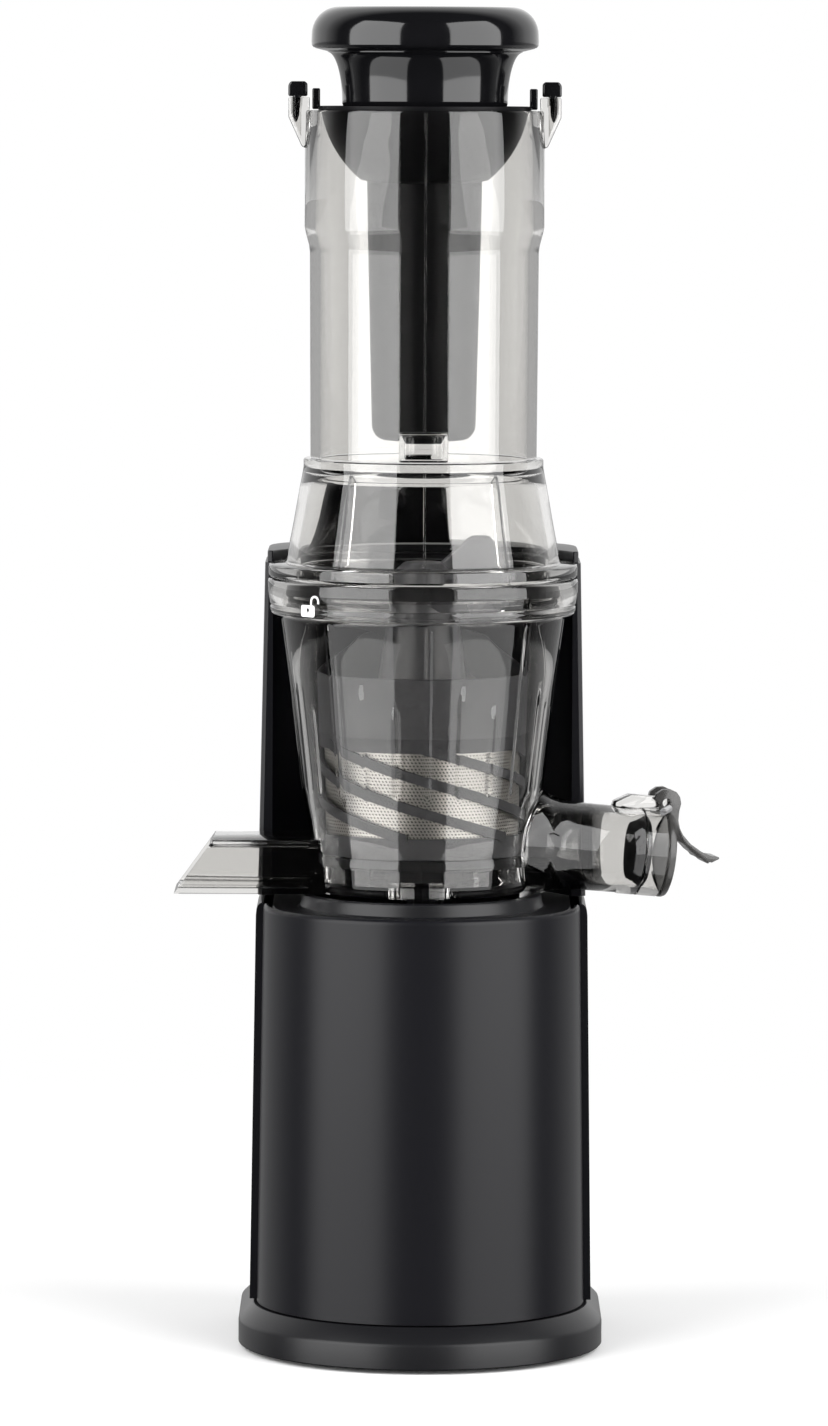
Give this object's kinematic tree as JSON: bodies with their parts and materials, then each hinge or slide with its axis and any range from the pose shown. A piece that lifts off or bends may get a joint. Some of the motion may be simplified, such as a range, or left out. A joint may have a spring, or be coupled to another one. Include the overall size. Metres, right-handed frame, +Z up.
{
  "type": "slow juicer",
  "caption": "Upright slow juicer: black motor base with rear tower, clear drum with strainer and auger, feed chute with pusher, pulp spout and capped juice outlet.",
  "frame": {"origin": "centre of the overall box at the underside of the rubber feet; the drum's axis is 8.9 mm to -X and 13.3 mm to -Y of it", "axes": "+Z up, front faces -Y, juice outlet points to +X, pulp spout to -X"},
  "size_m": [0.1843, 0.1496, 0.4512],
  "materials": {
    "housing_black": "satin moulded ABS",
    "trim_black": "gloss moulded ABS",
    "clear_smoke": "clear smoke-tinted copolyester",
    "cap_smoke": "dark smoke-tinted copolyester",
    "rubber_black": "moulded rubber",
    "silicone_black": "moulded silicone",
    "silicone_grey": "moulded silicone",
    "auger_grey": "moulded PPSU",
    "strainer_black": "moulded nylon",
    "strainer_steel": "perforated stainless sheet",
    "steel": "ground steel",
    "gear_white": "moulded acetal",
    "motor_steel": "laminated steel",
    "inner_plastic": "moulded nylon",
    "board_green": "circuit board laminate"
  },
  "bodies": {
    "base": {"base_skirt_front": "housing_black", "base_skirt_rear": "housing_black", "bottom_plate": "inner_plastic", "rubber_foot_1": "rubber_black", "rubber_foot_2": "rubber_black", "rubber_foot_3": "rubber_black", "rubber_foot_4": "rubber_black", "base_screw_1": "steel", "base_screw_2": "steel", "base_screw_3": "steel", "base_screw_4": "steel", "front_shell": "housing_black", "rear_housing": "housing_black", "top_deck": "housing_black", "deck_shaft_seal": "rubber_black", "tower_shell": "housing_black", "tower_top_cap": "housing_black", "motor_mount": "inner_plastic", "motor_stator": "motor_steel", "motor_bearing_lower": "steel", "motor_bearing_upper": "steel", "gearbox_plate": "steel", "gearbox_cover": "inner_plastic", "output_bearing": "steel", "idler_pin": "steel", "switch_bezel": "trim_black", "cord_inlet_bushing": "rubber_black", "control_board": "board_green", "interlock_switch": "inner_plastic"},
    "drive": {"drive_shaft": "steel", "output_gear": "gear_white"},
    "idler": {"idler_gear": "gear_white"},
    "rotor": {"motor_rotor": "motor_steel", "cooling_fan": "inner_plastic"},
    "rocker": {"rocker_switch": "trim_black"},
    "drum": {"juicing_drum": "clear_smoke", "drum_base_seal": "silicone_black", "strainer_frame": "strainer_black", "strainer_mesh": "strainer_steel", "juice_outlet_tube": "clear_smoke", "pulp_spout": "clear_smoke"},
    "cap": {"juice_cap": "cap_smoke", "cap_seal": "silicone_black", "cap_hinge_pin": "steel"},
    "auger": {"auger": "auger_grey", "auger_socket": "steel", "auger_seal": "silicone_grey"},
    "lid": {"drum_lid": "clear_smoke", "lid_seal": "silicone_black", "feed_funnel": "trim_black", "feed_chute": "clear_smoke", "feed_gate": "trim_black", "gate_latch_left": "trim_black", "gate_latch_right": "trim_black"},
    "pusher": {"pusher_knob": "trim_black", "pusher_stem": "trim_black"}
  },
  "joints": [
    {"name": "drive_spin", "type": "hinge", "parent": "base", "child": "drive", "pos_m": [-0.0089, -0.0133, 0.114], "axis": [0, 0, 1], "continuous": true},
    {"name": "idler_spin", "type": "hinge", "parent": "base", "child": "idler", "pos_m": [0.01091, 0.00195, 0.105], "axis": [0, 0, 1], "continuous": true},
    {"name": "rotor_spin", "type": "hinge", "parent": "base", "child": "rotor", "pos_m": [-0.0089, 0.0047, 0.055], "axis": [0, 0, 1], "continuous": true},
    {"name": "rocker_tilt", "type": "hinge", "parent": "base", "child": "rocker", "pos_m": [-0.0089, 0.0682, 0.07], "axis": [1, 0, 0], "range_deg": [-8, 8]},
    {"name": "drum_lift", "type": "slide", "parent": "base", "child": "drum", "axis": [0, 0, 1], "range_m": [0, 0.06]},
    {"name": "auger_spin", "type": "hinge", "parent": "drum", "child": "auger", "pos_m": [-0.0089, -0.0133, 0.2], "axis": [0, 0, 1], "continuous": true},
    {"name": "cap_hinge", "type": "hinge", "parent": "drum", "child": "cap", "pos_m": [0.07266, -0.02915, 0.18368], "axis": [-0.1908, -0.9816, 0], "range_deg": [0, 100]},
    {"name": "lid_twist", "type": "hinge", "parent": "drum", "child": "lid", "pos_m": [-0.0089, -0.0133, 0.28], "axis": [0, 0, 1], "range_deg": [0, 30]},
    {"name": "pusher_slide", "type": "slide", "parent": "lid", "child": "pusher", "axis": [0, 0, 1], "range_m": [0, 0.14]}
  ],
  "couplings": [
    {"joint": "auger_spin", "follows": "drive_spin", "ratio": 1},
    {"joint": "idler_spin", "follows": "drive_spin", "ratio": -4},
    {"joint": "rotor_spin", "follows": "drive_spin", "ratio": 16}
  ]
}
